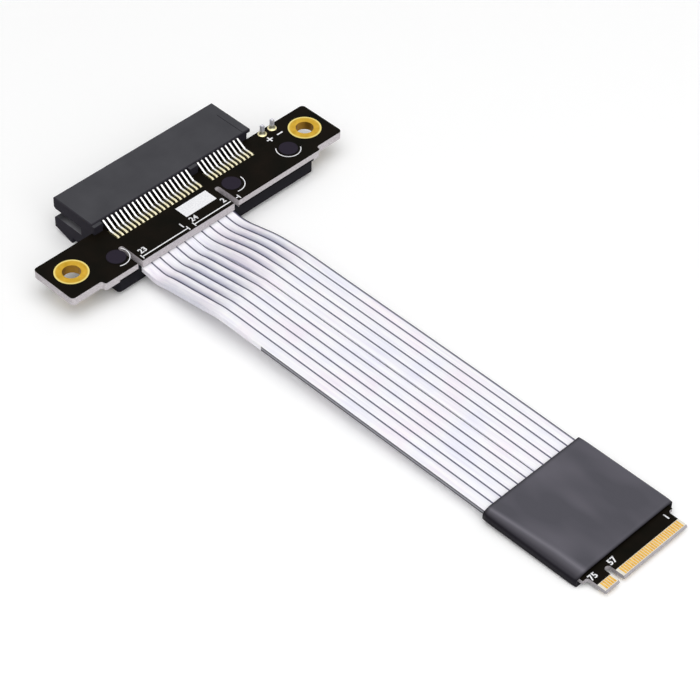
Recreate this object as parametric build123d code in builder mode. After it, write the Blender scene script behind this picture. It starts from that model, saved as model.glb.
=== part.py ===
from build123d import *
import os
from math import atan2, hypot, tan

# Card extension cable: a 22 mm edge plug (key M), two flat shielded ribbons side by side,
# and a narrow board that carries an x4 card slot on its far edge.
# Frame in millimetres: the origin is midway between the two mounting holes on the slot
# board's top face, X runs along that board, Y points away from the cable, Z is up.

# Slot board
board_length = 66.5
board_thickness = 1.6
far_edge_y = 5.2
wing_edge_y = -5.5
middle_edge_y = -6.5
middle_length = 53.0
board_corner = 0.8
jog_radius = 0.45
hole_spacing = 57.5
ring_diameter = 6.35
ring_bore = 3.4
ring_wall = 0.2
ring_flange = 0.08
copper = 0.06

# Soldering tab, parted from the board by two milled reliefs
cable_x = -6.6
tab_width = 22.3
relief_width = 1.1
relief_end_y = -0.9

# Card slot housing
housing_length = 39.0
housing_depth = 10.5
housing_top = 2.1
housing_height = 7.0
slot_gap = 1.8
slot_depth = 7.4
slot_closed_wall = 2.6
lead_in = 0.4
rear_wall = 0.8
foot_height = 1.2
foot_width = 2.0
foot_crest_y = 11.6
foot_back_y = 11.0
groove_inset = 1.8
groove_length = 7.0
groove_width = 0.15
groove_depth = 0.1
housing_edge = 0.15
heel_relief = 0.9
heel_relief_top = 0.8

# Contacts: 21 on the long side of the key, 11 on the short side
contact_pitch = 1.0
long_group = 21
short_group = 11
key_step = 3.0
key_width = 1.65
first_contact_x = -16.8
contact_width = 0.46
contact_thickness = 0.2
contact_bend = 0.35
channel_width = 0.62
channel_lap = 0.1
tail_clearance = 0.15
tip_clearance = 0.3
tail_level = 1.5
tail_foot_y = 1.25
tail_heel_y = 3.1
spring_reach = 6.0
spring_preload = 0.1
spring_root_back = 0.4
spring_root_rise = 0.9
spring_crown_back = 1.6
spring_tip_lift = 0.25
pad_width = 0.6
pad_near_y = 0.9
pad_far_y = 3.6
solder_reach = 0.22
solder_rise = 0.14

# Lower cover, staked through the board by three posts
cover_left = -23.35
cover_right = 24.9
cover_near_y = -6.2
cover_far_y = 0.7
cover_depth = 2.8
cover_wall = 0.9
cover_corner = 0.6
post_places = [(-20.5, -2.5), (7.9, -2.1), (22.35, -2.2)]
post_diameter = 2.2
post_clearance = 0.1
post_head = 3.7
post_head_height = 0.15
boss_diameter = 4.4

# Two pin power header
power_x = 23.0
power_y = 4.2
power_pitch = 2.54
power_pin = 0.64
power_pin_above = 2.2
power_pin_below = 4.2
power_hole = 1.0
power_pad = 1.75
solder_cone_height = 0.7
solder_cone_top = 0.95
power_body_depth = 2.5
power_body_height = 2.5
power_body_chamfer = 0.3

# Ribbons: six strips and five strips
strip_pitch = 2.0
six_strips = 6
five_strips = 5
ribbon_gap = 0.1
ribbon_thickness = 0.9
ribbon_seat_clearance = 0.15
wire_pitch = 0.5
wires_per_strip = 4
wire_width = 0.3
wire_thickness = 0.1
wire_length = 2.0
wire_pad_margin = 0.2

# Route of both ribbons, as (Y, Z) points on their middle plane, from the tab to the plug
ribbon_route = [
    (-2.9, -2.16),
    (-6.3, -2.16),
    (-9.9, -2.55),
    (-13.2, -2.1),
    (-19.2, -0.85),
    (-25.2, 0.13),
    (-33.0, 0.25),
    (-86.0, -0.35),
    (-92.7, -0.35),
]

# Plug board
card_width = 22.0
card_thickness = 0.8
card_back_y = -92.9
card_tip_y = -113.7
tongue_width = 19.85
tongue_length = 4.0
tongue_bevel = 0.25
shoulder_radius = 0.5
key_offset = 6.125
notch_width = 1.2
notch_depth = 3.5
finger_pitch = 0.5
finger_width = 0.35
finger_length = 1.5
finger_setback = 0.35
upper_last_pin = 75
lower_last_pin = 74
first_missing_pin = 59
last_missing_pin = 66

# Shrink sleeve over the plug board
sleeve_near_y = -89.05
sleeve_far_y = -109.0
sleeve_wall = 0.35
sleeve_cavity_width = 22.5
sleeve_cavity_height = 1.5
sleeve_cavity_top = 0.25
sleeve_side_radius = 0.8

# Places that follow from the sizes above
board_under = -board_thickness
mouth_y = far_edge_y + housing_depth
housing_bottom = housing_top - housing_height
slot_middle = housing_top - housing_height / 2
slot_floor_y = mouth_y - slot_depth
slot_end_x = housing_length / 2 - slot_closed_wall
card_under = -card_thickness

long_xs = [first_contact_x + i * contact_pitch for i in range(long_group)]
short_start = long_xs[-1] + key_step
short_xs = [short_start + i * contact_pitch for i in range(short_group)]
contact_xs = long_xs + short_xs
key_x = (long_xs[-1] + short_start) / 2

six_width = six_strips * strip_pitch
five_width = five_strips * strip_pitch
ribbon_left = cable_x - (six_width + ribbon_gap + five_width) / 2
six_x = ribbon_left + six_width / 2
five_x = ribbon_left + six_width + ribbon_gap + five_width / 2
ribbon_right = five_x + five_width / 2


def export(piece, name):
    """Label a finished sub-part and write its file."""
    piece.part.label = name
    export_step(piece.part, f"parts/{name}.step")


def strips(xs, width, y_from, y_to, z_from, height):
    """Add one flat bar for each x, lying between two values of y."""
    with BuildSketch(Plane.XY.offset(z_from)) as bars:
        with Locations(*[(x, (y_from + y_to) / 2) for x in xs]):
            Rectangle(width, abs(y_to - y_from))
    extrude(bars.sketch, amount=height)


def box_between(x_from, x_to, y_from, y_to, z_from, z_to, mode=Mode.ADD):
    """Add or cut a box between two corners."""
    with BuildSketch(Plane.XY.offset(z_from)) as base:
        with Locations(((x_from + x_to) / 2, (y_from + y_to) / 2)):
            Rectangle(x_to - x_from, y_to - y_from)
    extrude(base.sketch, amount=z_to - z_from, mode=mode)


os.makedirs("parts", exist_ok=True)

# Slot board: a long plate whose middle steps out toward the cable
relief_xs = [cable_x + side * (tab_width + relief_width) / 2 for side in (-1, 1)]
relief_length = 2 * (relief_end_y - middle_edge_y)
power_xs = [power_x + side * power_pitch / 2 for side in (-1, 1)]
with BuildPart() as slot_board:
    with BuildSketch(Plane.XY.offset(board_under)) as outline:
        with Locations((0, (far_edge_y + wing_edge_y) / 2)):
            Rectangle(board_length, far_edge_y - wing_edge_y)
        with Locations((0, middle_edge_y / 2)):
            Rectangle(middle_length, -middle_edge_y)
        ends = outline.vertices().filter_by(lambda v: abs(v.X) > board_length / 2 - 0.01)
        fillet(ends, board_corner)
        jogs = outline.vertices().filter_by(lambda v: abs(abs(v.X) - middle_length / 2) < 0.01)
        fillet(jogs, jog_radius)
        with Locations((-hole_spacing / 2, 0), (hole_spacing / 2, 0)):
            Circle(ring_bore / 2 + ring_wall, mode=Mode.SUBTRACT)
        with Locations(*post_places):
            Circle(post_diameter / 2 + post_clearance, mode=Mode.SUBTRACT)
        with Locations(*[(x, power_y) for x in power_xs]):
            Circle(power_hole / 2, mode=Mode.SUBTRACT)
        with Locations(*[(x, middle_edge_y) for x in relief_xs]):
            SlotOverall(relief_length, relief_width, rotation=90, mode=Mode.SUBTRACT)
    extrude(amount=board_thickness)
export(slot_board, "slot_board")

# Plated rings of the two mounting holes: a barrel with a flange on each face
for name, side in (("mounting_ring_left", -1), ("mounting_ring_right", 1)):
    ring_x = side * hole_spacing / 2
    with BuildPart() as ring:
        with BuildSketch(Plane(origin=(ring_x, 0, 0), x_dir=(1, 0, 0), z_dir=(0, -1, 0))):
            with BuildLine():
                Polyline(
                    (ring_bore / 2, ring_flange),
                    (ring_diameter / 2, ring_flange),
                    (ring_diameter / 2, 0),
                    (ring_bore / 2 + ring_wall, 0),
                    (ring_bore / 2 + ring_wall, board_under),
                    (ring_diameter / 2, board_under),
                    (ring_diameter / 2, board_under - ring_flange),
                    (ring_bore / 2, board_under - ring_flange),
                    close=True,
                )
            make_face()
        revolve(axis=Axis((ring_x, 0, 0), (0, 0, 1)))
    export(ring, name)

# Solder pads of the slot contacts on both faces of the board
with BuildPart() as slot_pads_upper:
    strips(contact_xs, pad_width, pad_near_y, pad_far_y, 0, copper)
export(slot_pads_upper, "slot_pads_upper")

with BuildPart() as slot_pads_lower:
    strips(contact_xs, pad_width, pad_near_y, pad_far_y, board_under - copper, copper)
export(slot_pads_lower, "slot_pads_lower")

# Slot housing: one moulding with the card slot open at its left end, the key,
# a channel for each contact and a wedge foot under each end
half_gap = slot_gap / 2
channel_reach = tail_level + contact_thickness / 2 + tail_clearance - slot_middle
channel_far_y = slot_floor_y + spring_reach + tip_clearance


def slot_cut(x_from, x_to):
    """Cut a length of the card slot, with its lead-in at the mouth."""
    with BuildSketch(Plane.YZ.offset(x_from)) as profile:
        with BuildLine():
            Polyline(
                (slot_floor_y, slot_middle - half_gap),
                (mouth_y - lead_in, slot_middle - half_gap),
                (mouth_y, slot_middle - half_gap - lead_in),
                (mouth_y, slot_middle + half_gap + lead_in),
                (mouth_y - lead_in, slot_middle + half_gap),
                (slot_floor_y, slot_middle + half_gap),
                close=True,
            )
        make_face()
    extrude(profile.sketch, amount=x_to - x_from, mode=Mode.SUBTRACT)


def contact_channels(side):
    """Cut the channels of one row of contacts: side is 1 above the slot and -1 below."""
    inner = slot_middle + side * (half_gap - channel_lap)
    outer = slot_middle + side * channel_reach
    exit_low = slot_middle + side * (channel_reach - contact_thickness - 2 * tail_clearance)
    low, high = sorted((inner, outer))
    strips_cut(low, high, far_edge_y + rear_wall, channel_far_y)
    low, high = sorted((exit_low, outer))
    strips_cut(low, high, far_edge_y, far_edge_y + rear_wall)


def strips_cut(z_from, z_to, y_from, y_to):
    """Cut one channel for each contact between the given heights."""
    with BuildSketch(Plane.XY.offset(z_from)) as bars:
        with Locations(*[(x, (y_from + y_to) / 2) for x in contact_xs]):
            Rectangle(channel_width, y_to - y_from)
    extrude(bars.sketch, amount=z_to - z_from, mode=Mode.SUBTRACT)


with BuildPart() as slot_housing:
    box_between(
        -housing_length / 2, housing_length / 2, far_edge_y, mouth_y, housing_bottom, housing_top
    )
    top_rim = slot_housing.faces().sort_by(Axis.Z)[-1].edges()
    chamfer(top_rim, housing_edge)
    slot_cut(-housing_length / 2, key_x - key_width / 2)
    slot_cut(key_x + key_width / 2, slot_end_x)
    contact_channels(1)
    contact_channels(-1)
    for foot_x in (-housing_length / 2, housing_length / 2 - foot_width):
        with BuildSketch(Plane.YZ.offset(foot_x)):
            with BuildLine():
                Polyline(
                    (mouth_y - lead_in, housing_bottom),
                    (foot_crest_y, housing_bottom - foot_height),
                    (foot_back_y, housing_bottom - foot_height),
                    (foot_back_y, housing_bottom),
                    close=True,
                )
            make_face()
        extrude(amount=foot_width)
    groove_x = housing_length / 2 - groove_inset
    box_between(
        groove_x - groove_width / 2,
        groove_x + groove_width / 2,
        far_edge_y,
        far_edge_y + groove_length,
        housing_top - groove_depth,
        housing_top,
        mode=Mode.SUBTRACT,
    )
    box_between(
        housing_length / 2 - heel_relief,
        housing_length / 2,
        far_edge_y,
        far_edge_y + heel_relief,
        housing_bottom,
        housing_top - heel_relief_top,
        mode=Mode.SUBTRACT,
    )
export(slot_housing, "slot_housing")

# Contacts: a solder foot on the board, a sloping tail, and a spring that
# presses on the card inside the slot
card_face = half_gap - spring_preload


def contact(side, foot_z):
    """One contact at x = 0: side is 1 for the upper row and -1 for the lower row."""
    level = slot_middle + side * (tail_level - slot_middle)
    path = [
        (tail_foot_y, foot_z),
        (tail_heel_y, foot_z),
        (far_edge_y, level),
        (far_edge_y + 2 * rear_wall, level),
        (slot_floor_y - spring_root_back, slot_middle + side * (half_gap + spring_root_rise)),
        (slot_floor_y + spring_reach - spring_crown_back, slot_middle + side * card_face),
        (slot_floor_y + spring_reach, slot_middle + side * (half_gap + spring_tip_lift)),
    ]
    half = contact_thickness / 2
    with BuildPart() as one:
        with BuildSketch(Plane.YZ.offset(-contact_width / 2)):
            with BuildLine():
                FilletPolyline(*path, radius=contact_bend)
                offset(amount=half, side=Side.BOTH)
            make_face()
        extrude(amount=contact_width)
    return one.part


upper_foot_z = copper + contact_thickness / 2
lower_foot_z = board_under - copper - contact_thickness / 2
for name, side, foot_z in (
    ("slot_contacts_upper", 1, upper_foot_z),
    ("slot_contacts_lower", -1, lower_foot_z),
):
    one_contact = contact(side, foot_z)
    with BuildPart() as contacts:
        with Locations(*[(x, 0, 0) for x in contact_xs]):
            add(one_contact)
    export(contacts, name)

# Solder at the toe of each contact: a small wedge on the pad, against the foot's round end
toe_y = tail_foot_y - contact_thickness / 2
for name, side, pad_z in (
    ("slot_solder_upper", 1, copper),
    ("slot_solder_lower", -1, board_under - copper),
):
    with BuildPart() as slot_solder:
        for x in contact_xs:
            with BuildSketch(Plane.YZ.offset(x - contact_width / 2)) as toe:
                with BuildLine():
                    Polyline(
                        (toe_y, pad_z),
                        (toe_y, pad_z + side * solder_rise),
                        (toe_y - solder_reach, pad_z),
                        close=True,
                    )
                make_face()
            extrude(toe.sketch, amount=contact_width)
    export(slot_solder, name)

# Lower cover: a moulded bar with a seat for the ribbons, a pocket at its right,
# and three posts whose heads are flattened over the board
cover_bottom = board_under - cover_depth
seat_z = ribbon_route[0][1] - ribbon_thickness / 2 - ribbon_seat_clearance
seat_left = ribbon_left - ribbon_seat_clearance
seat_right = ribbon_right + ribbon_seat_clearance
with BuildPart() as lower_cover:
    box_between(cover_left, cover_right, cover_near_y, cover_far_y, cover_bottom, board_under)
    fillet(lower_cover.edges().filter_by(Axis.Z), cover_corner)
    box_between(
        seat_left,
        seat_right,
        cover_near_y,
        cover_far_y - cover_wall,
        seat_z,
        board_under,
        mode=Mode.SUBTRACT,
    )
    box_between(
        seat_right + cover_wall,
        cover_right - cover_wall,
        cover_near_y + cover_wall,
        cover_far_y - cover_wall,
        cover_bottom + cover_wall,
        board_under,
        mode=Mode.SUBTRACT,
    )
    with BuildSketch(Plane.XY.offset(cover_bottom)):
        with Locations(*post_places):
            Circle(boss_diameter / 2)
    extrude(amount=cover_depth)
    with BuildSketch(Plane.XY.offset(board_under)):
        with Locations(*post_places):
            Circle(post_diameter / 2)
    extrude(amount=board_thickness)
    with BuildSketch(Plane.XY):
        with Locations(*post_places):
            Circle(post_head / 2)
    extrude(amount=post_head_height)
    head_faces = lower_cover.faces().group_by(Axis.Z)[-1]
    chamfer(head_faces.edges(), post_head_height / 2)
export(lower_cover, "lower_cover")

# Power header: a block under the board and two square pins that come up through it
with BuildPart() as power_header_body:
    with BuildSketch(Plane.XY.offset(board_under - power_body_height)):
        with Locations((power_x, power_y)):
            Rectangle(2 * power_pitch, power_body_depth)
            with Locations((-power_pitch / 2, 0), (power_pitch / 2, 0)):
                Rectangle(power_pin, power_pin, mode=Mode.SUBTRACT)
    extrude(amount=power_body_height)
    uprights = power_header_body.edges().filter_by(Axis.Z)
    corners = uprights.group_by(Axis.X)[0] + uprights.group_by(Axis.X)[-1]
    chamfer(corners, power_body_chamfer)
export(power_header_body, "power_header_body")

with BuildPart() as power_header_pins:
    with BuildSketch(Plane.XY.offset(board_under - power_pin_below)):
        with Locations(*[(x, power_y) for x in power_xs]):
            Rectangle(power_pin, power_pin)
    extrude(amount=power_pin_below + board_thickness + power_pin_above)
    tips = power_header_pins.faces().filter_by(Axis.Z)
    chamfer(tips.edges(), power_pin / 5)
export(power_header_pins, "power_header_pins")

with BuildPart() as power_pads:
    with BuildSketch(Plane.XY):
        with Locations(*[(x, power_y) for x in power_xs]):
            Circle(power_pad / 2)
            Circle(power_hole / 2, mode=Mode.SUBTRACT)
    extrude(amount=copper)
export(power_pads, "power_pads")

# Solder of the power header: a hollow sided cone round each pin
with BuildPart() as power_solder:
    for x in power_xs:
        pin_plane = Plane(origin=(x, power_y, copper), x_dir=(1, 0, 0), z_dir=(0, -1, 0))
        with BuildSketch(pin_plane) as flank:
            with BuildLine():
                rim = (power_pad / 2, 0)
                collar = (solder_cone_top / 2, solder_cone_height)
                sag = ((rim[0] + 2 * collar[0]) / 3, solder_cone_height / 4)
                ThreePointArc(rim, sag, collar)
                Polyline(collar, (0, solder_cone_height), (0, 0), rim)
            make_face()
        revolve(flank.sketch, axis=Axis((x, power_y, 0), (0, 0, 1)))
    with BuildSketch(Plane.XY.offset(copper)) as pin_square:
        with Locations(*[(x, power_y) for x in power_xs]):
            Rectangle(power_pin, power_pin)
    extrude(pin_square.sketch, amount=solder_cone_height, mode=Mode.SUBTRACT)
export(power_solder, "power_solder")


def route_radii(points):
    """Arc radius at each inner point: 0.45 of the shorter run over the tangent of half the turn."""
    radii = []
    for before, here, after in zip(points, points[1:], points[2:]):
        run_in = (here[0] - before[0], here[1] - before[1])
        run_out = (after[0] - here[0], after[1] - here[1])
        cross = run_in[0] * run_out[1] - run_in[1] * run_out[0]
        along = run_in[0] * run_out[0] + run_in[1] * run_out[1]
        turn = atan2(cross, along)
        shorter = min(hypot(*run_in), hypot(*run_out))
        radii.append(0.45 * shorter / tan(abs(turn) / 2))
    return radii


ribbon_radii = route_radii(ribbon_route)
print("ribbon arc radii:", [round(r, 1) for r in ribbon_radii])


def ribbon(middle_x, width):
    """A plain flat band swept along the route at the given middle x."""
    with BuildPart() as band:
        with BuildLine(Plane.YZ.offset(middle_x)) as route:
            FilletPolyline(*ribbon_route, radius=ribbon_radii)
        path = route.wire()
        with BuildSketch(Plane(path @ 0, x_dir=(1, 0, 0), z_dir=path % 0)):
            Rectangle(width, ribbon_thickness)
        sweep(path=path)
    swept = width * ribbon_thickness * path.length
    print("ribbon length", round(path.length, 2), "volume over section times length",
          round(band.part.volume / swept, 4))
    return band


export(ribbon(six_x, six_width), "ribbon_six")
export(ribbon(five_x, five_width), "ribbon_five")


def wire_xs(middle_x, strip_count):
    """Places of the bare wire ends across one ribbon."""
    count = strip_count * wires_per_strip
    return [middle_x + (i - (count - 1) / 2) * wire_pitch for i in range(count)]


six_wires = wire_xs(six_x, six_strips)
five_wires = wire_xs(five_x, five_strips)
tab_end_y = ribbon_route[0][0]
plug_end_y = ribbon_route[-1][0]
tab_wire_z = board_under - copper - wire_thickness
for name, xs in (("six", six_wires), ("five", five_wires)):
    with BuildPart() as tab_wires:
        strips(xs, wire_width, tab_end_y, tab_end_y + wire_length, tab_wire_z, wire_thickness)
    export(tab_wires, f"wire_ends_{name}_tab")
    with BuildPart() as plug_wires:
        strips(xs, wire_width, plug_end_y, plug_end_y - wire_length, copper, wire_thickness)
    export(plug_wires, f"wire_ends_{name}_plug")

# Solder pads under the tab and on the plug board
with BuildPart() as tab_pads:
    strips(six_wires + five_wires, wire_width, tab_end_y + wire_pad_margin, tab_end_y + wire_length,
           board_under - copper, copper)
export(tab_pads, "tab_pads")

with BuildPart() as plug_pads:
    strips(six_wires + five_wires, wire_width, plug_end_y - 2 * wire_pad_margin,
           plug_end_y - wire_length, 0, copper)
export(plug_pads, "plug_pads")

# Plug board with its bevelled tongue and the notch of key M
with BuildPart() as plug_board:
    with BuildSketch(Plane.XY.offset(card_under)) as card_outline:
        with Locations((cable_x, (card_back_y + card_tip_y + tongue_length) / 2)):
            Rectangle(card_width, card_back_y - card_tip_y - tongue_length)
        with Locations((cable_x, card_tip_y + tongue_length)):
            Rectangle(tongue_width, 2 * tongue_length)
        shoulder_y = card_tip_y + tongue_length
        side_corners = card_outline.vertices().filter_by(
            lambda v: abs(v.Y - shoulder_y) < 0.01 and abs(v.X - cable_x) < card_width / 2 - 0.01
        )
        fillet(side_corners, shoulder_radius)
        with Locations((cable_x - key_offset, card_tip_y)):
            SlotOverall(2 * notch_depth, notch_width, rotation=90, mode=Mode.SUBTRACT)
    extrude(amount=card_thickness)
    tip_face = plug_board.faces().filter_by(lambda f: abs(f.center().Y - card_tip_y) < 0.001)
    tip_edges = tip_face.edges().filter_by(Axis.X)
    chamfer(tip_edges, tongue_bevel)
export(plug_board, "plug_board")


def finger_xs(first_pin, last_pin):
    """Middle x of each gold finger of one face, leaving out the pins of the key."""
    pins = range(first_pin, last_pin + 1, 2)
    kept = [n for n in pins if n < first_missing_pin or n > last_missing_pin]
    span = finger_pitch * (upper_last_pin - 1) / 2
    return [cable_x + span / 2 - (n - 1) * finger_pitch / 2 for n in kept]


finger_from_y = card_tip_y + finger_setback
finger_to_y = finger_from_y + finger_length
with BuildPart() as plug_fingers_upper:
    strips(finger_xs(1, upper_last_pin), finger_width, finger_from_y, finger_to_y, 0, copper)
export(plug_fingers_upper, "plug_fingers_upper")

with BuildPart() as plug_fingers_lower:
    strips(finger_xs(2, lower_last_pin), finger_width, finger_from_y, finger_to_y,
           card_under - copper, copper)
export(plug_fingers_lower, "plug_fingers_lower")

# Shrink sleeve: a flattened tube round the plug board and the ribbon ends
sleeve_middle_z = sleeve_cavity_top - sleeve_cavity_height / 2
with BuildPart() as shrink_sleeve:
    with BuildSketch(Plane.XZ.offset(-sleeve_near_y)):
        with Locations((cable_x, sleeve_middle_z)):
            RectangleRounded(
                sleeve_cavity_width + 2 * sleeve_wall,
                sleeve_cavity_height + 2 * sleeve_wall,
                sleeve_side_radius,
            )
            RectangleRounded(
                sleeve_cavity_width,
                sleeve_cavity_height,
                sleeve_side_radius - sleeve_wall,
                mode=Mode.SUBTRACT,
            )
    extrude(amount=sleeve_near_y - sleeve_far_y)
export(shrink_sleeve, "shrink_sleeve")
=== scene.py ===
# %% [markdown]
# # A card slot extension cable
# The real object is a small circuit board with a card slot on its far edge, two flat
# white ribbons of shielded wire, and a little plug board under a dark shrink sleeve.
# The rigid pieces come in as a finished frame at their real size. This file gives every
# surface its finish, lays the ribbons as flat bands, and prints the white ink on the boards.

# %% Load the frame
import math

import bmesh
import bpy
from mathutils import Matrix, Vector


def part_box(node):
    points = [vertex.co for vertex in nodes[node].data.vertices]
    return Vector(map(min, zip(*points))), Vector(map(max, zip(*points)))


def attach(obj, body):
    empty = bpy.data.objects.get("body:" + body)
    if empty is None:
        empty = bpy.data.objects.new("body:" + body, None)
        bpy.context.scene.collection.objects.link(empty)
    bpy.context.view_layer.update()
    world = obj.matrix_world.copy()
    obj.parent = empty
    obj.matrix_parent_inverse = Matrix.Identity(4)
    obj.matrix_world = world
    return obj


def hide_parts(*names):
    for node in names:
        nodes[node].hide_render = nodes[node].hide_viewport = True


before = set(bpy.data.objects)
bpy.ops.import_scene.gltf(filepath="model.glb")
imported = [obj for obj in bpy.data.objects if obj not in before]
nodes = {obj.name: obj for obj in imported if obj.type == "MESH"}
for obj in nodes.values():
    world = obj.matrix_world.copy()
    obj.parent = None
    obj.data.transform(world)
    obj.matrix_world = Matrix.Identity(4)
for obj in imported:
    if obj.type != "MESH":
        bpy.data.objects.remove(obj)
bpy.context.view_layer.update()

MM = 0.001
print("pieces in the frame:", len(nodes))

# %% [markdown]
# The camera comes first, because everything else is judged through it. A product
# photo like this one is taken from far away with a long lens, so that the board's ends
# stay nearly parallel. The camera's place and its three axes were solved from the known
# sizes of the slot and the plug.

# %% Camera
camera_place = Vector((-225.5, -256.8, 298.2)) * MM
camera_right = Vector((0.7052, -0.7087, 0.0196))
camera_up = Vector((0.4882, 0.5055, 0.7114))
camera_lens = 127.5


def look_matrix(place, right, up):
    """World matrix of a camera that stands at place, from its right and up directions."""
    right = right.normalized()
    back = right.cross(up).normalized()
    up = back.cross(right)
    turn = Matrix((right, up, back)).transposed().to_4x4()
    return Matrix.Translation(place) @ turn


camera_data = bpy.data.cameras.new("camera")
camera_data.lens = camera_lens
camera_data.sensor_width = 36
camera_data.clip_start = 0.01
camera = bpy.data.objects.new("camera", camera_data)
bpy.context.scene.collection.objects.link(camera)
camera.matrix_world = look_matrix(camera_place, camera_right, camera_up)
bpy.context.scene.camera = camera
print("camera stands", round(camera_place.length, 3), "m from the board's middle")

# %% [markdown]
# Small helpers keep the rest short. Colours are written as the sRGB hex that a screen
# shows, and one function turns them to the linear values that light needs. Another adds
# a shader node with its settings and its links, which may be plain values or sockets.


# %% Colour and node helpers
def linear(hex_colour):
    """Linear RGBA of an sRGB colour such as #E0B030."""
    parts = [int(hex_colour[i:i + 2], 16) / 255 for i in (1, 3, 5)]
    return [c / 12.92 if c <= 0.04045 else ((c + 0.055) / 1.055) ** 2.4 for c in parts] + [1]


def node(tree, kind, inputs=None, **settings):
    """Add a shader node, set its properties, and feed its sockets from values or other sockets."""
    made = tree.nodes.new(kind)
    for name, value in settings.items():
        setattr(made, name, value)
    for key, value in (inputs or {}).items():
        if isinstance(value, bpy.types.NodeSocket):
            tree.links.new(value, made.inputs[key])
        else:
            made.inputs[key].default_value = value
    return made


def new_material(name):
    """An empty node material with its output, and the tree's Principled shader."""
    material = bpy.data.materials.new(name)
    material.use_nodes = True
    tree = material.node_tree
    tree.nodes.clear()
    shader = node(tree, "ShaderNodeBsdfPrincipled")
    node(tree, "ShaderNodeOutputMaterial", {"Surface": shader.outputs[0]})
    return material, tree, shader


def ramp(tree, value, stops, interpolation="LINEAR"):
    """Colour ramp over (place, hex) stops, fed by a value socket."""
    made = node(tree, "ShaderNodeValToRGB", {"Fac": value})
    made.color_ramp.interpolation = interpolation
    elements = made.color_ramp.elements
    elements[0].position, elements[0].color = stops[0][0], linear(stops[0][1])
    elements[1].position, elements[1].color = stops[-1][0], linear(stops[-1][1])
    for place, colour in stops[1:-1]:
        elements.new(place).color = linear(colour)
    return made.outputs["Color"]


def bump(tree, height, distance, strength=1.0):
    """Bump from a height socket, with the real height in metres."""
    made = node(tree, "ShaderNodeBump", {"Height": height, "Distance": distance, "Strength": strength})
    return made.outputs["Normal"]


def object_point(tree):
    """The point on the piece in metres, in the shared frame."""
    return node(tree, "ShaderNodeTexCoord").outputs["Object"]


def noise(tree, point, size, detail=2.0, roughness=0.5):
    """Noise whose blotches are about size metres across."""
    made = node(tree, "ShaderNodeTexNoise", {
        "Vector": point, "Scale": 1 / size, "Detail": detail, "Roughness": roughness})
    return made.outputs["Fac"]


def math_node(tree, operation, first, second=0.0, third=0.0):
    """One arithmetic step between sockets or numbers."""
    made = node(tree, "ShaderNodeMath", {0: first, 1: second, 2: third}, operation=operation)
    return made.outputs[0]


def mix(tree, share, first, second):
    """Colour between two sockets or colours, by a share from 0 to 1."""
    made = node(tree, "ShaderNodeMix", {"Factor": share}, data_type="RGBA")
    for key, value in ((6, first), (7, second)):
        if isinstance(value, bpy.types.NodeSocket):
            tree.links.new(value, made.inputs[key])
        else:
            made.inputs[key].default_value = value
    return made.outputs[2]


def multiply(tree, share, first, second):
    """Product of two colour sockets, mixed in by a share from 0 to 1."""
    made = node(tree, "ShaderNodeMix", {"Factor": share}, data_type="RGBA", blend_type="MULTIPLY")
    tree.links.new(first, made.inputs[6])
    tree.links.new(second, made.inputs[7])
    return made.outputs[2]


def dress(names, material):
    """Give nodes of the frame their material."""
    for name in names:
        slots = nodes[name].data.materials
        slots.clear()
        slots.append(material)
    print(material.name, "on", ", ".join(names))


# %% [markdown]
# The ribbons are the cords of this object. Each is a flat band of wires wrapped in thin
# silver white film, and each strip shows as a shallow crown with a dark line beside it.
# A spline through measured points gives each centreline, and a mesh band follows points
# read from that spline. The two leave the board side by side. In the first bend the
# right one rises sooner, so it rides over half a millimetre higher there.

# %% Ribbon routes
left_route = [
    (-2.9, -2.16), (-6.2, -2.2), (-8.2, -2.5), (-10.2, -2.65), (-12.4, -2.2), (-18.0, -1.31),
    (-23.5, -0.42), (-25.3, -0.13), (-27.0, -0.05), (-34.0, -0.08), (-58.0, -0.18), (-74.0, -0.23),
    (-88.0, -0.34), (-92.7, -0.44),
]
right_route = [
    (-2.9, -2.16), (-6.2, -2.2), (-8.2, -2.45), (-10.2, -2.35), (-13.3, -1.65), (-18.0, -0.58),
    (-23.5, 0.0), (-25.0, 0.13), (-26.6, 0.15), (-34.0, 0.12), (-58.0, 0.1), (-74.0, 0.02),
    (-88.0, -0.2), (-92.7, -0.33),
]
ribbon_thickness = 0.9 * MM
strip_pitch = 2.0 * MM
six_low, six_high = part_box("ribbon_six")
five_low, five_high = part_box("ribbon_five")
half_gap = (five_low.x - six_high.x) / 2 - 0.005 * MM


def route_points(name, middle_x, route):
    """Points read from a smooth curve through a route at one x."""
    data = bpy.data.curves.new(name, "CURVE")
    data.dimensions = "3D"
    data.resolution_u = 8
    spline = data.splines.new("BEZIER")
    spline.bezier_points.add(len(route) - 1)
    for point, (y, z) in zip(spline.bezier_points, route):
        point.co = (middle_x, y * MM, z * MM)
        point.handle_left_type = point.handle_right_type = "AUTO"
    curve = bpy.data.objects.new(name, data)
    bpy.context.scene.collection.objects.link(curve)
    bpy.context.view_layer.update()
    line = bpy.data.meshes.new_from_object(curve)
    points = [v.co.copy() for v in line.vertices]
    bpy.data.objects.remove(curve)
    run = sum((after - before).length for before, after in zip(points, points[1:]))
    print(name, "points", len(points), "length in mm", round(run / MM, 2))
    return points


six_points = route_points("six_line", (six_low.x + six_high.x) / 2, left_route)
five_points = route_points("five_line", (five_low.x + five_high.x) / 2, right_route)


# %% [markdown]
# A band starts as one cross-section: for each strip an upper and a lower crown, joined
# at the dark lines by shallow valleys. The section is extruded from point to point and
# each new ring is turned square to the line, and the two ends are closed. The inner sides
# are half a gap wider, so that the two bands meet as the real ones do. The outer left side
# has no dark line, so it has no valley, and its film is folded round into a small hem. The
# outer right side ends a little past its dark line.

# %% Ribbon bands
crown_height = 0.14 * MM
crown_points = 8
hem_width = 0.2 * MM
hem_drop = 0.15 * MM
line_margin = 0.12 * MM


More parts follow.
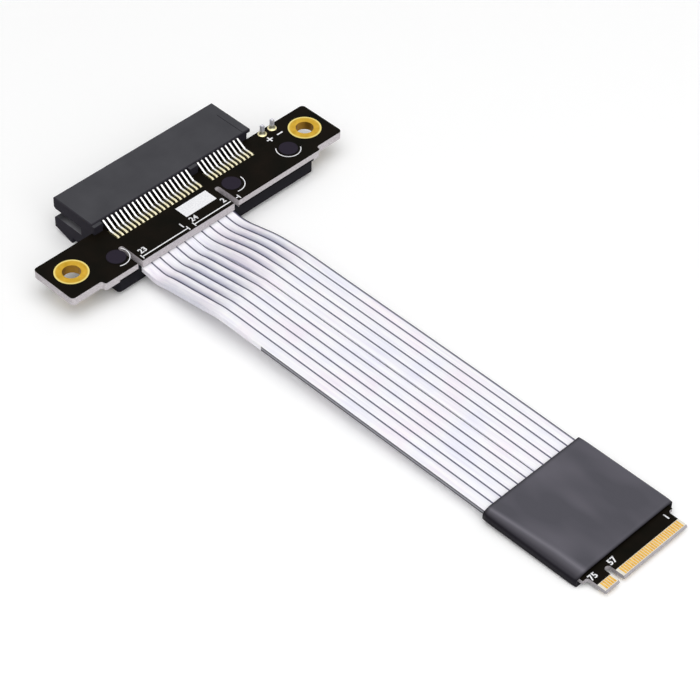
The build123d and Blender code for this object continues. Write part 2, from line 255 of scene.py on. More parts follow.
def section_outline(strip_count, widen_left, widen_right, hemmed):
    """(across, up) points round a band's section, counter-clockwise, in metres."""
    half_width = strip_count * strip_pitch / 2
    half = ribbon_thickness / 2
    left_drop = 0.2 if hemmed else 1.0
    top = [(-half_width - widen_left, half - left_drop * crown_height)]
    for strip in range(strip_count):
        for step in range(crown_points):
            share = step / crown_points
            across = -half_width + (strip + share) * strip_pitch
            valley = (2 * share - 1) ** 8
            if strip == 0 and share < 0.5:
                valley *= left_drop
            top.append((across, half - crown_height * valley))
    top[1] = (-half_width + 0.05 * MM, half - 0.6 * left_drop * crown_height)
    top.append((half_width + widen_right, half - crown_height))
    bottom = [(x, -z) for x, z in top]
    if hemmed:
        bottom[0] = (bottom[0][0], bottom[0][1] - hem_drop)
    return top[::-1] + bottom


def band(name, points, strip_count, widen_left, widen_right, hemmed):
    """Mesh band that follows the points, with its section square to them."""
    outline = section_outline(strip_count, widen_left, widen_right, hemmed)
    shape = bmesh.new()
    ring = None
    for index, point in enumerate(points):
        before = points[max(index - 1, 0)]
        after = points[min(index + 1, len(points) - 1)]
        along = (after - before).normalized()
        up = Vector((1, 0, 0)).cross(along)
        up = up if up.z > 0 else -up
        places = [point + Vector((1, 0, 0)) * x + up * z for x, z in outline]
        if ring is None:
            corners = [shape.verts.new(place) for place in places]
            face = shape.faces.new(corners)
            ring = list(face.edges)
            continue
        grown = bmesh.ops.extrude_edge_only(shape, edges=ring)["geom"]
        ring = [e for e in grown if isinstance(e, bmesh.types.BMEdge)]
        verts = [v for v in grown if isinstance(v, bmesh.types.BMVert)]
        step = point - points[index - 1]
        bmesh.ops.translate(shape, verts=verts, vec=step)
        for vert in verts:
            vert.co = min(places, key=lambda place: (place - vert.co).length_squared)
    bmesh.ops.holes_fill(shape, edges=ring)
    bmesh.ops.recalc_face_normals(shape, faces=shape.faces)
    for face in shape.faces:
        face.smooth = len(face.verts) == 4 and abs(face.normal.x) < 0.9
    data = bpy.data.meshes.new(name)
    shape.to_mesh(data)
    shape.free()
    made = bpy.data.objects.new(name, data)
    bpy.context.scene.collection.objects.link(made)
    print(name, "faces", len(data.polygons))
    return made


six_band = band("six_strip_ribbon", six_points, 6, hem_width, half_gap, True)
five_band = band("five_strip_ribbon", five_points, 5, half_gap, line_margin, False)
for piece, cad, points, width in (
    (six_band, "ribbon_six", six_points, 12 * MM),
    (five_band, "ribbon_five", five_points, 10 * MM),
):
    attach(piece, "root")
    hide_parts(cad)

# %% [markdown]
# The film is glossy silver white plastic. Its dark lines are drawn from the piece's own
# x, so they stay exactly in the valleys between strips. Faint lengthwise streaks come
# from noise stretched along y, where the shield under the film shows through. In the
# first bend each strip has a painted soft grey shade beside its line, and the sides are
# painted with shade there. Each band's last line, at its right edge, is drawn wider as painted shade.
# The left side is wrapped in film as far as a cut edge, and past that it shows its layers.


# %% Ribbon film
def ribbon_film(name, left_edge, edge_strip, edge_shade_widening, wrapped_to, painted_side_shade):
    """Silver white polyester film over shielded pairs, with a dark line beside each strip."""
    material, tree, shader = new_material(name)
    point = object_point(tree)
    axes = node(tree, "ShaderNodeSeparateXYZ", {0: point})
    strips_across = math_node(tree, "DIVIDE", math_node(tree, "SUBTRACT", axes.outputs[0], left_edge), strip_pitch)
    strips_across = math_node(tree, "MAXIMUM", strips_across, 0.0)
    share = math_node(tree, "FRACT", strips_across)
    unlined = math_node(tree, "LESS_THAN", strips_across, 0.5)
    to_line = math_node(tree, "MINIMUM", math_node(tree, "ADD", share, unlined),
                        math_node(tree, "SUBTRACT", 1.0, share))
    # Past edge_strip the last line is drawn wider, as painted shade at the band's right edge: in the gap between the
    # ribbons for the six, and along the outer side for the five.
    at_shaded_edge = math_node(tree, "GREATER_THAN", strips_across, edge_strip)
    to_line = math_node(tree, "MULTIPLY", to_line, math_node(tree, "MULTIPLY_ADD", at_shaded_edge, -edge_shade_widening, 1.0))
    stretched = node(tree, "ShaderNodeMapping", {"Vector": point, "Scale": (1, 0.03, 1)}).outputs[0]
    streaks = noise(tree, stretched, 0.35 * MM, 3)
    clouds = noise(tree, point, 9 * MM, 2)
    film = ramp(tree, streaks, [(0.3, "#F2F0F8"), (0.5, "#F9F8FD"), (0.7, "#FFFFFF")])
    tint = ramp(tree, clouds, [(0.35, "#FFF2FA"), (0.5, "#FFFFFF"), (0.65, "#F1F3FF")])
    tinted = multiply(tree, 0.45, film, tint)
    # Painted shade: in the first bend each strip gets a soft grey shade beside its line, fainter at the left side.
    along_bend = node(tree, "ShaderNodeMapRange", {
        "Value": axes.outputs[1], "From Min": -27 * MM, "From Max": -7 * MM}).outputs[0]
    in_bend = ramp(tree, along_bend, [(0.0, "#000000"), (0.3, "#FFFFFF"), (0.7, "#FFFFFF"), (1.0, "#000000")])
    shade_beside_line = ramp(tree, share, [(0.04, "#FFFFFF"), (0.25, "#C0C0C0"), (0.62, "#000000")])
    past_side = node(tree, "ShaderNodeMapRange", {
        "Value": strips_across, "From Min": 0.2, "From Max": 0.7, "To Min": 0.35, "To Max": 1.0}).outputs[0]
    painted_bend_shade = math_node(tree, "MULTIPLY", math_node(tree, "MULTIPLY", in_bend, shade_beside_line), past_side)
    shaded = mix(tree, painted_bend_shade, tinted, linear("#8A8CA4"))
    line = ramp(tree, to_line, [(0.031, "#38384C"), (0.064, "#A6A5B6"), (0.1, "#FFFFFF")])
    lined = multiply(tree, 1.0, shaded, line)
    level = math_node(tree, "MULTIPLY_ADD", axes.outputs[1], -0.0045, axes.outputs[2])
    layer = node(tree, "ShaderNodeMapRange", {
        "Value": level, "From Min": -0.5 * MM, "From Max": 0.53 * MM}).outputs[0]
    layers = ramp(tree, layer, [(0.0, "#32323A"), (0.22, "#26262E"), (0.42, "#A0A0A8"), (0.56, "#94949C"),
                                (0.7, "#48484F"), (0.9, "#5C5C63"), (1.0, "#74747B")])
    facing = node(tree, "ShaderNodeNewGeometry").outputs["Normal"]
    sideways = node(tree, "ShaderNodeSeparateXYZ", {0: facing}).outputs[0]
    on_side = math_node(tree, "GREATER_THAN", math_node(tree, "ABSOLUTE", sideways), 0.9)
    past_wrap = math_node(tree, "LESS_THAN", axes.outputs[1], wrapped_to)
    bare_side = math_node(tree, "MULTIPLY", on_side, past_wrap)
    # The sides are painted with shade in the first bend.
    side_film_shaded = mix(tree, in_bend, tinted, linear(painted_side_shade))
    wrapped = mix(tree, on_side, lined, side_film_shaded)
    tree.links.new(mix(tree, bare_side, wrapped, layers), shader.inputs["Base Color"])
    shader.inputs["Roughness"].default_value = 0.35
    shader.inputs["Specular IOR Level"].default_value = 0.3
    tree.links.new(bump(tree, streaks, 0.02 * MM), shader.inputs["Normal"])
    return material


six_band.data.materials.append(ribbon_film("silver_white_film_six", six_low.x, 5.5, 0.15, -36.9 * MM, "#DCDCE6"))
five_band.data.materials.append(ribbon_film("silver_white_film_five", five_low.x, 4.5, 0.55, -200.0 * MM, "#C4C3D4"))

# %% [markdown]
# The boards are glass fibre laminate with black solder mask on both faces. A milled edge
# shows the bare laminate, which is pale and slightly grainy, so the shader picks the edge
# colour wherever the surface doesn't face up or down. The plug's tongue has no mask, so
# that nothing lies between its fingers and the socket.


# %% Solder mask and laminate
def masked_laminate(name, mask, sheen, mask_from):
    """Satin black solder mask over a glass fibre board with pale milled edges."""
    material, tree, shader = new_material(name)
    point = object_point(tree)
    facing = node(tree, "ShaderNodeNewGeometry").outputs["Normal"]
    upright = node(tree, "ShaderNodeSeparateXYZ", {0: facing}).outputs[2]
    is_face = math_node(tree, "GREATER_THAN", math_node(tree, "ABSOLUTE", upright), 0.8)
    place_y = node(tree, "ShaderNodeSeparateXYZ", {0: point}).outputs[1]
    masked = math_node(tree, "MULTIPLY", is_face, math_node(tree, "GREATER_THAN", place_y, mask_from))
    blotches = noise(tree, point, 5 * MM, 2)
    face_colour = ramp(tree, blotches, [(0.3, mask), (0.7, sheen)])
    squashed = node(tree, "ShaderNodeMapping", {"Vector": point, "Scale": (1, 1, 4)}).outputs[0]
    fibres = noise(tree, squashed, 0.5 * MM, 4, 0.7)
    edge_colour = ramp(tree, fibres, [(0.25, "#9C9599"), (0.5, "#C4BEC1"), (0.75, "#E4E0E2")])
    on_plug = math_node(tree, "LESS_THAN", place_y, -50 * MM)
    edge_colour = mix(tree, math_node(tree, "MULTIPLY", on_plug, 0.55), edge_colour, linear("#8C8A8E"))
    bare_colour = ramp(tree, fibres, [(0.3, "#DDD8CA"), (0.7, "#EEEADF")])
    bare = mix(tree, is_face, edge_colour, bare_colour)
    tree.links.new(mix(tree, masked, bare, face_colour), shader.inputs["Base Color"])
    rough = math_node(tree, "MULTIPLY_ADD", masked, -0.3, 0.75)
    tree.links.new(rough, shader.inputs["Roughness"])
    shader.inputs["Specular IOR Level"].default_value = 0.02
    grain = noise(tree, point, 0.15 * MM, 2)
    tree.links.new(bump(tree, grain, 0.004 * MM), shader.inputs["Normal"])
    return material


solder_mask = masked_laminate("black_solder_mask", "#0C0C08", "#17120D", -111.75 * MM)
dress(["slot_board", "plug_board"], solder_mask)

# %% [markdown]
# Gold plating here is a very thin layer over nickel. It has gold's colour and a soft
# shine, a little uneven from the etched copper under it. Tin plating on the contacts is
# whiter and smoother. Both are metals, so their colour is in the reflection.


# %% Plated metals
contact_pitch = 1 * MM
tail_bright = 0.165 * MM
foot_bright = 0.205 * MM
contact_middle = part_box("slot_contacts_upper")[0].x + 0.23 * MM


def plated(name, dark, light, roughness, blotch, foot=None, edge_reflection=None, metallic=0.85):
    """A thin plated metal with a slightly uneven tone.

    A foot is (axis, full at, none at, colour). The edge colour is a painted reflection on
    a contact's two edges, which the press rounded, so that they mirror the black board beside them.
    """
    material, tree, shader = new_material(name)
    point = object_point(tree)
    tone = ramp(tree, noise(tree, point, blotch, 2), [(0.3, dark), (0.7, light)])
    if foot:
        axis, full_at, none_at, foot_colour = foot
        place = node(tree, "ShaderNodeSeparateXYZ", {0: point}).outputs[axis]
        foot_share = node(tree, "ShaderNodeMapRange", {
            "Value": place, "From Min": full_at * MM, "From Max": none_at * MM, "To Min": 1.0, "To Max": 0.0})
        tone = mix(tree, foot_share.outputs[0], tone, linear(foot_colour))
    # Painted reflection: the contact's two edges are darkened as if mirroring the black board.
    if edge_reflection:
        place_x = node(tree, "ShaderNodeSeparateXYZ", {0: point}).outputs[0]
        from_start = math_node(tree, "SUBTRACT", place_x, contact_middle - contact_pitch / 2)
        in_pitch = math_node(tree, "FRACT", math_node(tree, "DIVIDE", from_start, contact_pitch))
        aside = math_node(tree, "ABSOLUTE", math_node(tree, "SUBTRACT", in_pitch, 0.5))
        place_y = node(tree, "ShaderNodeSeparateXYZ", {0: point}).outputs[1]
        bright_half = node(tree, "ShaderNodeMapRange", {
            "Value": place_y, "From Min": 2.3 * MM, "From Max": 3.3 * MM,
            "To Min": foot_bright / contact_pitch, "To Max": tail_bright / contact_pitch})
        is_edge = math_node(tree, "GREATER_THAN", aside, bright_half.outputs[0])
        tone = mix(tree, is_edge, tone, linear(edge_reflection))
    tree.links.new(tone, shader.inputs["Base Color"])
    shader.inputs["Metallic"].default_value = metallic
    shader.inputs["Roughness"].default_value = roughness
    grain = noise(tree, point, 0.08 * MM, 2)
    tree.links.new(bump(tree, grain, 0.003 * MM), shader.inputs["Normal"])
    return material


def ring_plated(name, dark, light, rim_highlight, wall):
    """Gold on the mounting rings, with a painted highlight round the rim and browner down the hole."""
    material = plated(name, dark, light, 0.38, 1.2 * MM)
    tree = material.node_tree
    shader = next(each for each in tree.nodes if each.type == "BSDF_PRINCIPLED")
    tone = shader.inputs["Base Color"].links[0].from_socket
    low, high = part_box("mounting_ring_right")
    outer_radius = (high.x - low.x) / 2
    place = node(tree, "ShaderNodeSeparateXYZ", {0: object_point(tree)}).outputs
    from_middle = math_node(tree, "ABSOLUTE", place[0])
    aside = math_node(tree, "SUBTRACT", from_middle, (high.x + low.x) / 2)
    ahead = math_node(tree, "SUBTRACT", place[1], (high.y + low.y) / 2)
    squares = math_node(tree, "ADD", math_node(tree, "MULTIPLY", aside, aside),
                        math_node(tree, "MULTIPLY", ahead, ahead))
    radius = math_node(tree, "SQRT", squares)
    rim_highlight_share = node(tree, "ShaderNodeMapRange", {
        "Value": radius, "From Min": outer_radius - 0.42 * MM, "From Max": outer_radius - 0.15 * MM})
    tone = mix(tree, rim_highlight_share.outputs[0], tone, linear(rim_highlight))
    facing = node(tree, "ShaderNodeNewGeometry").outputs["Normal"]
    upward = node(tree, "ShaderNodeSeparateXYZ", {0: facing}).outputs[2]
    in_hole = math_node(tree, "LESS_THAN", radius, outer_radius - 1 * MM)
    is_wall = math_node(tree, "LESS_THAN", math_node(tree, "ABSOLUTE", upward), 0.5)
    tone = mix(tree, math_node(tree, "MULTIPLY", in_hole, is_wall), tone, linear(wall))
    tree.links.new(tone, shader.inputs["Base Color"])
    return material


ring_gold = ring_plated("gold_plated_ring", "#BF9624", "#D6AC38", "#EEDC84", "#A67C2C")
dress(["mounting_ring_left", "mounting_ring_right", "power_pads"], ring_gold)
pad_gold = plated("gold_flash_pad", "#A2966A", "#C2B88A", 0.35, 0.4 * MM)
dress(["slot_pads_upper", "slot_pads_lower", "tab_pads", "plug_pads"], pad_gold)
finger_gold = plated("gold_finger", "#DDA83F", "#EBC267", 0.35, 0.6 * MM)
dress(["plug_fingers_upper", "plug_fingers_lower"], finger_gold)
tin_foot = (1, 1.9, 2.7, "#F2EAC4")
tin = plated("bright_tin_plating", "#E4E4E2", "#FFFFFF", 0.3, 0.5 * MM, tin_foot, "#2E2C2A")
dress(["slot_contacts_upper", "slot_contacts_lower"], tin)
reflowed_solder = plated("reflowed_solder", "#C3BCA0", "#DED8BC", 0.3, 0.3 * MM, edge_reflection="#2E2C2A")
dress(["slot_solder_upper", "slot_solder_lower"], reflowed_solder)
pin_metal = plated("silvered_pin", "#C4C4CC", "#E6E6EE", 0.4, 0.4 * MM, metallic=0.35)
dress(["power_header_pins"], pin_metal)
cone_solder = plated("solder_over_gold", "#8F8C78", "#A9A690", 0.35, 0.4 * MM, foot=(2, 0.12, 0.26, "#F2E7B4"), metallic=0.6)
dress(["power_solder"], cone_solder)
wire_copper = plated("tinned_copper_strip", "#CDCBC4", "#E8E6E0", 0.35, 0.4 * MM)
dress(["wire_ends_six_tab", "wire_ends_five_tab", "wire_ends_six_plug", "wire_ends_five_plug"], wire_copper)


# %% [markdown]
# The slot housing is glass filled nylon, moulded with a fine spark grain that scatters
# light. Its upright faces are painted darker, as shade where the light from above falls
# less. The cover under the board and the header are the same kind of plastic in black,
# and the flattened heads of the cover's posts came out a little lighter and browner.

# %% Moulded plastics
def moulded(name, dark, light, upright_shade_colour, roughness, head_colour=None, lit_ledge_colour=None):
    """Moulded plastic with a spark grain, painted shade where it is upright, and a slightly uneven tone."""
    material, tree, shader = new_material(name)
    point = object_point(tree)
    tone = ramp(tree, noise(tree, point, 6 * MM, 3), [(0.3, dark), (0.7, light)])
    height = node(tree, "ShaderNodeSeparateXYZ", {0: point}).outputs[2]
    if head_colour:
        tone = mix(tree, math_node(tree, "GREATER_THAN", height, -0.05 * MM), tone, linear(head_colour))
    facing = node(tree, "ShaderNodeNewGeometry").outputs["Normal"]
    upward = node(tree, "ShaderNodeSeparateXYZ", {0: facing}).outputs[2]
    # Painted light: the up-facing ledge low in the slot is drawn lighter, as if lit, though the upper jaw shades it.
    if lit_ledge_colour:
        low = math_node(tree, "LESS_THAN", height, -1.0 * MM)
        inside = node(tree, "ShaderNodeMapRange", {
            "Value": node(tree, "ShaderNodeSeparateXYZ", {0: point}).outputs[1],
            "From Min": 14.2 * MM, "From Max": 12.2 * MM}).outputs[0]
        painted_ledge_light = math_node(tree, "MULTIPLY", math_node(tree, "GREATER_THAN", upward, 0.5), inside)
        painted_ledge_light = math_node(tree, "MULTIPLY", low, painted_ledge_light)
        tone = mix(tree, painted_ledge_light, tone, linear(lit_ledge_colour))
    steepness = math_node(tree, "ABSOLUTE", upward)
    level_share = node(tree, "ShaderNodeMapRange", {"Value": steepness, "From Min": 0.6, "From Max": 0.95})
    tree.links.new(mix(tree, level_share.outputs[0], linear(upright_shade_colour), tone), shader.inputs["Base Color"])
    shader.inputs["Roughness"].default_value = roughness
    shader.inputs["Specular IOR Level"].default_value = 0.04
    grain = noise(tree, point, 0.2 * MM, 3, 0.6)
    tree.links.new(bump(tree, grain, 0.01 * MM), shader.inputs["Normal"])
    return material


slot_nylon = moulded("grey_glass_filled_nylon", "#444448", "#4B4B4F", "#2B2930", 0.6, lit_ledge_colour="#76767A")
dress(["slot_housing"], slot_nylon)
cover_nylon = moulded("black_nylon", "#222428", "#292B30", "#1A191E", 0.55, head_colour="#2A2530")
dress(["lower_cover", "power_header_body"], cover_nylon)

# %% [markdown]
# On its near face the housing has two small ribs that stand on the board: one at its left
# end and one between the two groups of contacts. A thin dark band of painted shadow covers
# the lower part of the board's edge on both sides of the cable. All are cubes scaled to size.

# %% Housing ribs and painted shadow band
housing_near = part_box("slot_housing")[0].y / MM
board_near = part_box("slot_board")[0].y / MM


def add_block(shape, low, high):
    """Add a box between two corners, both (x, y, z) in millimetres."""
    low, high = Vector(low) * MM, Vector(high) * MM
    corners = bmesh.ops.create_cube(shape, size=1)["verts"]
    bmesh.ops.scale(shape, verts=corners, vec=high - low)
    bmesh.ops.translate(shape, verts=corners, vec=(low + high) / 2)


def finish_trim(name, shape, material):
    """Make moulded trim, or a band of painted shadow, a piece on the body."""
    data = bpy.data.meshes.new(name)
    shape.to_mesh(data)
    shape.free()
    data.materials.append(material)
    made = bpy.data.objects.new(name, data)
    bpy.context.scene.collection.objects.link(made)
    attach(made, "root")
    print(name, "faces", len(data.polygons))


ribs = bmesh.new()
for left, right in ((-19.5, -17.5), (3.75, 5.65)):
    add_block(ribs, (left, housing_near - 0.75, 0), (right, housing_near, 1.75))
finish_trim("housing_ribs", ribs, slot_nylon)

# A near black band stands for the shadow under the board's overhanging lower edge.
shadow_band_nylon = moulded("black_painted_shadow_band", "#0E0E10", "#121214", "#0D0D10", 0.6)
shadow_band = bmesh.new()
for left, right in ((-23.2, -18.85), (5.65, 24.75)):
    add_block(shadow_band, (left, board_near - 0.03, -1.62), (right, board_near + 0.3, -1.22))
finish_trim("painted_shadow_band", shadow_band, shadow_band_nylon)

# %% [markdown]
# The shrink sleeve is dark grey film, semi matte, with soft slanting bulges from the
# parts under it. Its left shoulder has a painted highlight along its crease and painted
# shade toward the side, and its upright faces are painted darker as shade.

# %% Sleeve film
sleeve_film, film_tree, film_shader = new_material("shrunk_polyolefin")
film_point = object_point(film_tree)
slanted = node(film_tree, "ShaderNodeMapping", {
    "Vector": film_point, "Rotation": (0, 0, math.radians(35)), "Scale": (1, 0.4, 1)}).outputs[0]
bulges = noise(film_tree, slanted, 5 * MM, 1)
film_tone = ramp(film_tree, bulges, [(0.35, "#525158"), (0.65, "#605E66")])
film_axes = node(film_tree, "ShaderNodeSeparateXYZ", {0: film_point})
# Painted highlight and shade across the left shoulder.
crease_reach = node(film_tree, "ShaderNodeMapRange", {
    "Value": film_axes.outputs[1], "From Min": -90 * MM, "From Max": -103 * MM,
    "To Min": 2.1 * MM, "To Max": 3.45 * MM}).outputs[0]
from_side = math_node(film_tree, "ADD", film_axes.outputs[0], 18.6 * MM)
shoulder = math_node(film_tree, "DIVIDE", from_side, crease_reach)
shoulder_light_and_shade = ramp(film_tree, shoulder, [
    (0.0, "#2A282E"), (0.22, "#3C3A40"), (0.5, "#5A585F"), (0.66, "#727078"), (0.8, "#67656D"), (1.0, "#5A585F")])
on_shoulder = ramp(film_tree, shoulder, [(0.75, "#FFFFFF"), (1.0, "#000000")])
film_tone = mix(film_tree, on_shoulder, film_tone, shoulder_light_and_shade)
# Upright faces are painted darker, as shade.
film_facing = node(film_tree, "ShaderNodeNewGeometry").outputs["Normal"]
film_steepness = math_node(film_tree, "ABSOLUTE", node(film_tree, "ShaderNodeSeparateXYZ", {0: film_facing}).outputs[2])
film_level = node(film_tree, "ShaderNodeMapRange", {"Value": film_steepness, "From Min": 0.6, "From Max": 0.95})
film_tree.links.new(mix(film_tree, film_level.outputs[0], linear("#1D1B21"), film_tone), film_shader.inputs["Base Color"])
film_shader.inputs["Roughness"].default_value = 0.45
film_shader.inputs["Specular IOR Level"].default_value = 0.05
film_tree.links.new(bump(film_tree, bulges, 0.15 * MM, 0.6), film_shader.inputs["Normal"])
dress(["shrink_sleeve"], sleeve_film)

# %% [markdown]
# White ink is screen printed on the mask: brackets with pin numbers along the solder tab,
# part circles round the three post heads, a blank label and the signs at the power pins.
# Real ink is about 0.02 mm thick, so every mark is a thin raised patch. A line is a grid
# scaled and turned into place, and a circle's part is a short edge spun about its middle.

# %% Ink helpers
ink_height = 0.02 * MM
board_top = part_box("slot_board")[1].z
plug_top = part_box("plug_board")[1].z


def ink_bar(shape, start, end, width, level):
    """Add a flat bar of ink from start to end, both (x, y) in millimetres."""
    first, last = Vector((*start, 0)) * MM, Vector((*end, 0)) * MM
    run = last - first
    verts = bmesh.ops.create_grid(shape, x_segments=1, y_segments=1, size=0.5)["verts"]
    bmesh.ops.scale(shape, verts=verts, vec=(run.length, width * MM, 1))
    turn = Matrix.Rotation(math.atan2(run.y, run.x), 3, "Z")
    bmesh.ops.rotate(shape, verts=verts, cent=(0, 0, 0), matrix=turn)
    bmesh.ops.translate(shape, verts=verts, vec=(first + last) / 2 + Vector((0, 0, level)))


def ink_arc(shape, centre, radius, from_degrees, to_degrees, width, level):
    """Add a part circle of ink about centre, (x, y) in millimetres."""
    middle = Vector((*centre, 0)) * MM + Vector((0, 0, level))
    turn = Matrix.Rotation(math.radians(from_degrees), 3, "Z")
    ends = [shape.verts.new(middle + turn @ Vector((r * MM, 0, 0)))
            for r in (radius - width / 2, radius + width / 2)]
    edge = shape.edges.new(ends)
    bmesh.ops.spin(shape, geom=[*ends, edge], cent=middle, axis=(0, 0, 1),
                   angle=math.radians(to_degrees - from_degrees), steps=24, use_duplicate=False)


def finish_ink(name, shape):
    """Give flat ink its thickness, and make it a piece on the body."""
    bmesh.ops.recalc_face_normals(shape, faces=shape.faces)
    for face in shape.faces:
        if face.normal.z < 0:
            face.normal_flip()
    flat = list(shape.faces)
    raised = bmesh.ops.extrude_face_region(shape, geom=flat)["geom"]
    tops = [g for g in raised if isinstance(g, bmesh.types.BMVert)]
    bmesh.ops.translate(shape, verts=tops, vec=(0, 0, ink_height))
    bmesh.ops.recalc_face_normals(shape, faces=shape.faces)
    data = bpy.data.meshes.new(name)
    shape.to_mesh(data)
    shape.free()
    data.materials.append(white_ink)
    made = bpy.data.objects.new(name, data)
    bpy.context.scene.collection.objects.link(made)
    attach(made, "root")
    print(name, "faces", len(data.polygons))
    return made


def ink_text(name, words, place, size, level):
    """Printed characters whose middle is at place, (x, y) in millimetres."""
    data = bpy.data.curves.new(name, "FONT")
    data.body = words
    data.size = size * MM
    data.align_x = "CENTER"
    data.align_y = "CENTER"
    data.offset = 0.03 * size * MM
    data.resolution_u = 2
    text = bpy.data.objects.new(name, data)
    bpy.context.scene.collection.objects.link(text)
    bpy.context.view_layer.update()
    mesh = bpy.data.meshes.new_from_object(text)
    bpy.data.objects.remove(text)
    shape = bmesh.new()
    shape.from_mesh(mesh)
    bmesh.ops.translate(shape, verts=shape.verts, vec=(place[0] * MM, place[1] * MM, level))
    return finish_ink(name, shape)


white_ink, ink_tree, ink_shader = new_material("white_screen_ink")
ink_tone = ramp(ink_tree, noise(ink_tree, object_point(ink_tree), 0.3 * MM, 3), [(0.3, "#E6E6EA"), (0.6, "#F8F8FA")])
ink_tree.links.new(ink_tone, ink_shader.inputs["Base Color"])
ink_shader.inputs["Roughness"].default_value = 0.6

# %% Ink on the slot board
line_width = 0.22
arc_width = 0.18
bracket_y = -5.65
tick_length = 0.55
bracket_spans = [(-17.1, -6.05), (-4.6, 4.4), (5.75, 6.45)]
ticks = [-17.1, -6.05, -4.6, 6.45]
posts = [(-20.5, -2.5, 2.45, -115, 30), (7.9, -2.1, 2.5, -105, 5), (22.35, -2.2, 2.35, -224, -30)]

lines = bmesh.new()
for left, right in bracket_spans:
    ink_bar(lines, (left, bracket_y), (right, bracket_y), line_width, board_top)
for tick_x in ticks:
    ink_bar(lines, (tick_x, -6.2), (tick_x, bracket_y + tick_length), line_width, board_top)
for post_x, post_y, radius, from_degrees, to_degrees in posts:
    ink_arc(lines, (post_x, post_y), radius, from_degrees, to_degrees, arc_width, board_top)
finish_ink("ink_lines", lines)

label = bmesh.new()
ink_bar(label, (-4.3, -1.75), (3.1, -1.75), 3.1, board_top)
finish_ink("ink_blank_label", label)
for words, place in (("23", (-15.9, -4.4)), ("1", (-6.5, -4.4)), ("24", (-3.6, -4.4)), ("2", (3.6, -4.5))):
    ink_text("ink_number_" + words, words, place, 1.7, board_top)

signs = bmesh.new()
for sign_x in (21.7, 24.3):
    ink_bar(signs, (sign_x - 0.7, 2.1), (sign_x + 0.7, 2.1), 0.3, board_top)
ink_bar(signs, (21.7, 1.4), (21.7, 1.95), 0.3, board_top)
ink_bar(signs, (21.7, 2.25), (21.7, 2.8), 0.3, board_top)
finish_ink("ink_power_signs", signs)

# %% [markdown]
# The shrink sleeve was a tube that was slid on and heated. On the right it pulls square
# round the board's edge. On the left it isn't filled, so its top ends at a crease and then
# slopes down to the side. It is made as a ring of points with rounded corners, which is
# extruded along the cable. The crease moves inwards along the way, and each ring is set a
# little narrower near the two ends.

# %% Shrink sleeve
sleeve_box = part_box("shrink_sleeve")
sleeve_rings = 24
sleeve_wall = 0.2 * MM
corner_steps = 6
end_tuck = 0.12 * MM
end_tuck_reach = 1.5 * MM
crease_turns = (-90.0, -17.2), (-103.0, -16.3)


def sleeve_corners(y):
    """Corners of the section at y as (x, z, reach of the rounding), in millimetres."""
    (start_y, start_x), (end_y, end_x) = crease_turns
    share = min(max((start_y - y / MM) / (start_y - end_y), 0.0), 1.0)
    crease_x = start_x + (end_x - start_x) * share
    return [(5.3, 0.6, 0.4), (crease_x, 0.6, 0.7), (-18.5, 0.1, 0.5), (-18.5, -1.6, 0.5), (5.3, -1.6, 0.5)]


def rounded_ring(corners):
    """(x, z) points of a closed section whose corners are rounded by quadratic curves."""
    ring = []
    for index, (x, z, reach) in enumerate(corners):
        here = Vector((x, z))
        before = Vector(corners[index - 1][:2])
        after = Vector(corners[(index + 1) % len(corners)][:2])
        start = here + (before - here).normalized() * reach
        end = here + (after - here).normalized() * reach
        for step in range(corner_steps + 1):
            t = step / corner_steps
            ring.append(start * (1 - t) ** 2 + here * 2 * t * (1 - t) + end * t ** 2)
    return ring


sleeve_low, sleeve_high = sleeve_box
sleeve_middle = (sleeve_low + sleeve_high) / 2


def sleeve_ring(y):
    """Where the section's points lie at y, with the tuck near both ends."""
    from_end = min(y - sleeve_low.y, sleeve_high.y - y)
    tuck = end_tuck * max(0.0, 1 - from_end / end_tuck_reach) ** 2
    places = []
    for spot in rounded_ring(sleeve_corners(y)):
        side = -1 if spot.x * MM < sleeve_middle.x else 1
        near_side = abs(spot.x * MM - sleeve_middle.x) > 8 * MM
        places.append(Vector((spot.x * MM - side * tuck * near_side, y, spot.y * MM)))
    return places


sleeve_shape = bmesh.new()
places = sleeve_ring(sleeve_high.y)
first_ring = [sleeve_shape.verts.new(place) for place in places]
ring_edges = [sleeve_shape.edges.new((first_ring[k - 1], first_ring[k])) for k in range(len(places))]
for step in range(1, sleeve_rings + 1):
    next_places = sleeve_ring(sleeve_high.y + (sleeve_low.y - sleeve_high.y) * step / sleeve_rings)
    grown = bmesh.ops.extrude_edge_only(sleeve_shape, edges=ring_edges)["geom"]
    ring_edges = [g for g in grown if isinstance(g, bmesh.types.BMEdge)]
    for vert in (g for g in grown if isinstance(g, bmesh.types.BMVert)):
        same = min(range(len(places)), key=lambda k: (places[k] - vert.co).length_squared)
        vert.co = next_places[same]
    places = next_places
bmesh.ops.recalc_face_normals(sleeve_shape, faces=sleeve_shape.faces)
outward = sum(f.normal.dot(f.calc_center_median() - sleeve_middle) for f in sleeve_shape.faces)
if outward < 0:
    bmesh.ops.reverse_faces(sleeve_shape, faces=sleeve_shape.faces)
bmesh.ops.solidify(sleeve_shape, geom=sleeve_shape.faces, thickness=sleeve_wall)
for face in sleeve_shape.faces:
    face.smooth = abs(face.normal.y) < 0.7
sleeve_data = bpy.data.meshes.new("shrunk_sleeve")
sleeve_shape.to_mesh(sleeve_data)
sleeve_shape.free()
sleeve_data.materials.append(sleeve_film)
sleeve = bpy.data.objects.new("shrunk_sleeve", sleeve_data)
bpy.context.scene.collection.objects.link(sleeve)
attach(sleeve, "root")
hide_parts("shrink_sleeve")
print("sleeve faces", len(sleeve_data.polygons))

# %% Numbers on the plug board
for words, place in (("75", (-15.7, -110.15)), ("57", (-11.1, -110.15)), ("1", (2.3, -110.2))):
    ink_text("ink_plug_" + words, words, place, 1.65, plug_top)

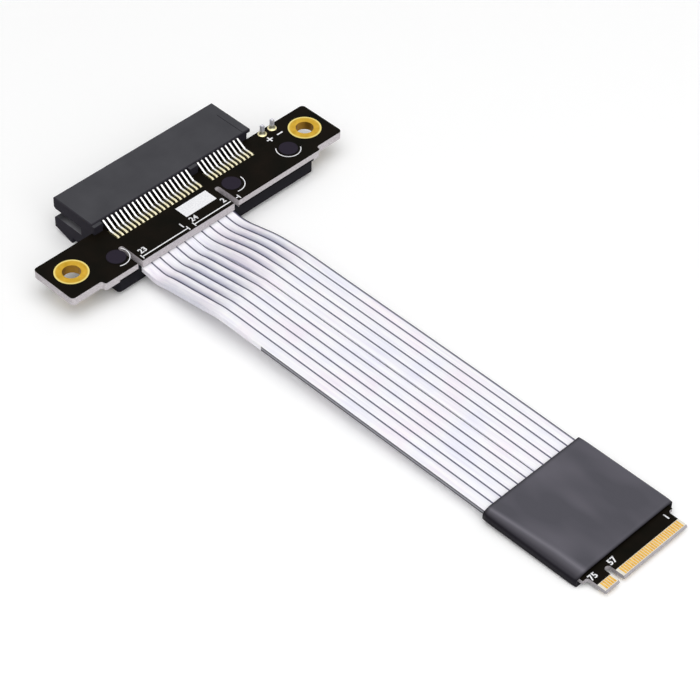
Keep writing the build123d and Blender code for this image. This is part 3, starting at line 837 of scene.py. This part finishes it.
# %% [markdown]
# The part lies as it would on a table: on the two wedge feet of the slot housing and the
# far lower edge of the sleeve. That tilts it by about two degrees, so instead of moving
# the part, the floor is tilted to touch those three places. Its paint is lifted a little
# for the eye alone, as a white backdrop is, and it keeps the part's shadow.

# %% Floor
def seen_share(tree):
    """1 for rays from the camera, from gloss and through glass, and 0 for rays that light the part."""
    rays = node(tree, "ShaderNodeLightPath")
    seen = math_node(tree, "MAXIMUM", rays.outputs["Is Camera Ray"], rays.outputs["Is Glossy Ray"])
    return math_node(tree, "MAXIMUM", seen, rays.outputs["Is Transmission Ray"])


foot_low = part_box("slot_housing")[0]
foot_back_y = 11.0 * MM
sleeve_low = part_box("shrink_sleeve")[0]
floor_rise = (sleeve_low.z - foot_low.z) / (foot_back_y - sleeve_low.y)
floor_reach = 3.0


def floor_height(y):
    """Height of the tilted floor at y."""
    return foot_low.z + (foot_back_y - y) * floor_rise


floor_shape = bmesh.new()
bmesh.ops.create_grid(floor_shape, x_segments=1, y_segments=1, size=floor_reach)
bmesh.ops.rotate(floor_shape, verts=floor_shape.verts, cent=(0, 0, 0),
                 matrix=Matrix.Rotation(-math.atan(floor_rise), 3, "X"))
bmesh.ops.translate(floor_shape, verts=floor_shape.verts, vec=(0, 0, floor_height(0)))
floor_mesh = bpy.data.meshes.new("floor")
floor_shape.to_mesh(floor_mesh)
floor_shape.free()
floor = bpy.data.objects.new("floor", floor_mesh)
bpy.context.scene.collection.objects.link(floor)
floor_paint, floor_tree, floor_shader = new_material("pale_floor_paint")
floor_shader.inputs["Base Color"].default_value = linear("#FFFFFF")
floor_shader.inputs["Roughness"].default_value = 0.9
floor_shader.inputs["Emission Color"].default_value = linear("#FFFFFF")
floor_lift = math_node(floor_tree, "MULTIPLY", seen_share(floor_tree), 0.06)
floor_tree.links.new(floor_lift, floor_shader.inputs["Emission Strength"])
floor_mesh.materials.append(floor_paint)
print("floor tilt in degrees:", round(math.degrees(math.atan(floor_rise)), 2))

# %% [markdown]
# The light is soft and plain: a wide lamp above and a little in front, a small one in front,
# and an even world. The white background is only for the camera and for reflections,
# through Light Path, so the world can stay mild on the object.

# %% Lights and world
def soft_lamp(name, place, aim, size, power):
    """A square area lamp at place that points at aim."""
    data = bpy.data.lights.new(name, "AREA")
    data.size = size
    data.energy = power
    lamp = bpy.data.objects.new(name, data)
    bpy.context.scene.collection.objects.link(lamp)
    lamp.location = place
    lamp.rotation_euler = (Vector(aim) - Vector(place)).to_track_quat("-Z", "Y").to_euler()
    return lamp


part_middle = (-0.007, -0.05, 0.0)
soft_lamp("lamp_above", (-0.2, -0.3, 0.9), part_middle, 1.4, 9.3)
soft_lamp("lamp_front", (-0.1, -1.0, 0.4), part_middle, 0.6, 1.6)

world = bpy.data.worlds.new("studio")
bpy.context.scene.world = world
world.use_nodes = True
world_tree = world.node_tree
world_tree.nodes.clear()
strength = math_node(world_tree, "MULTIPLY_ADD", seen_share(world_tree), 0.65, 0.35)
backdrop = node(world_tree, "ShaderNodeBackground", {"Color": linear("#FFFFFF"), "Strength": strength})
node(world_tree, "ShaderNodeOutputWorld", {"Surface": backdrop.outputs[0]})

scene = bpy.context.scene
scene.view_settings.view_transform = "Standard"
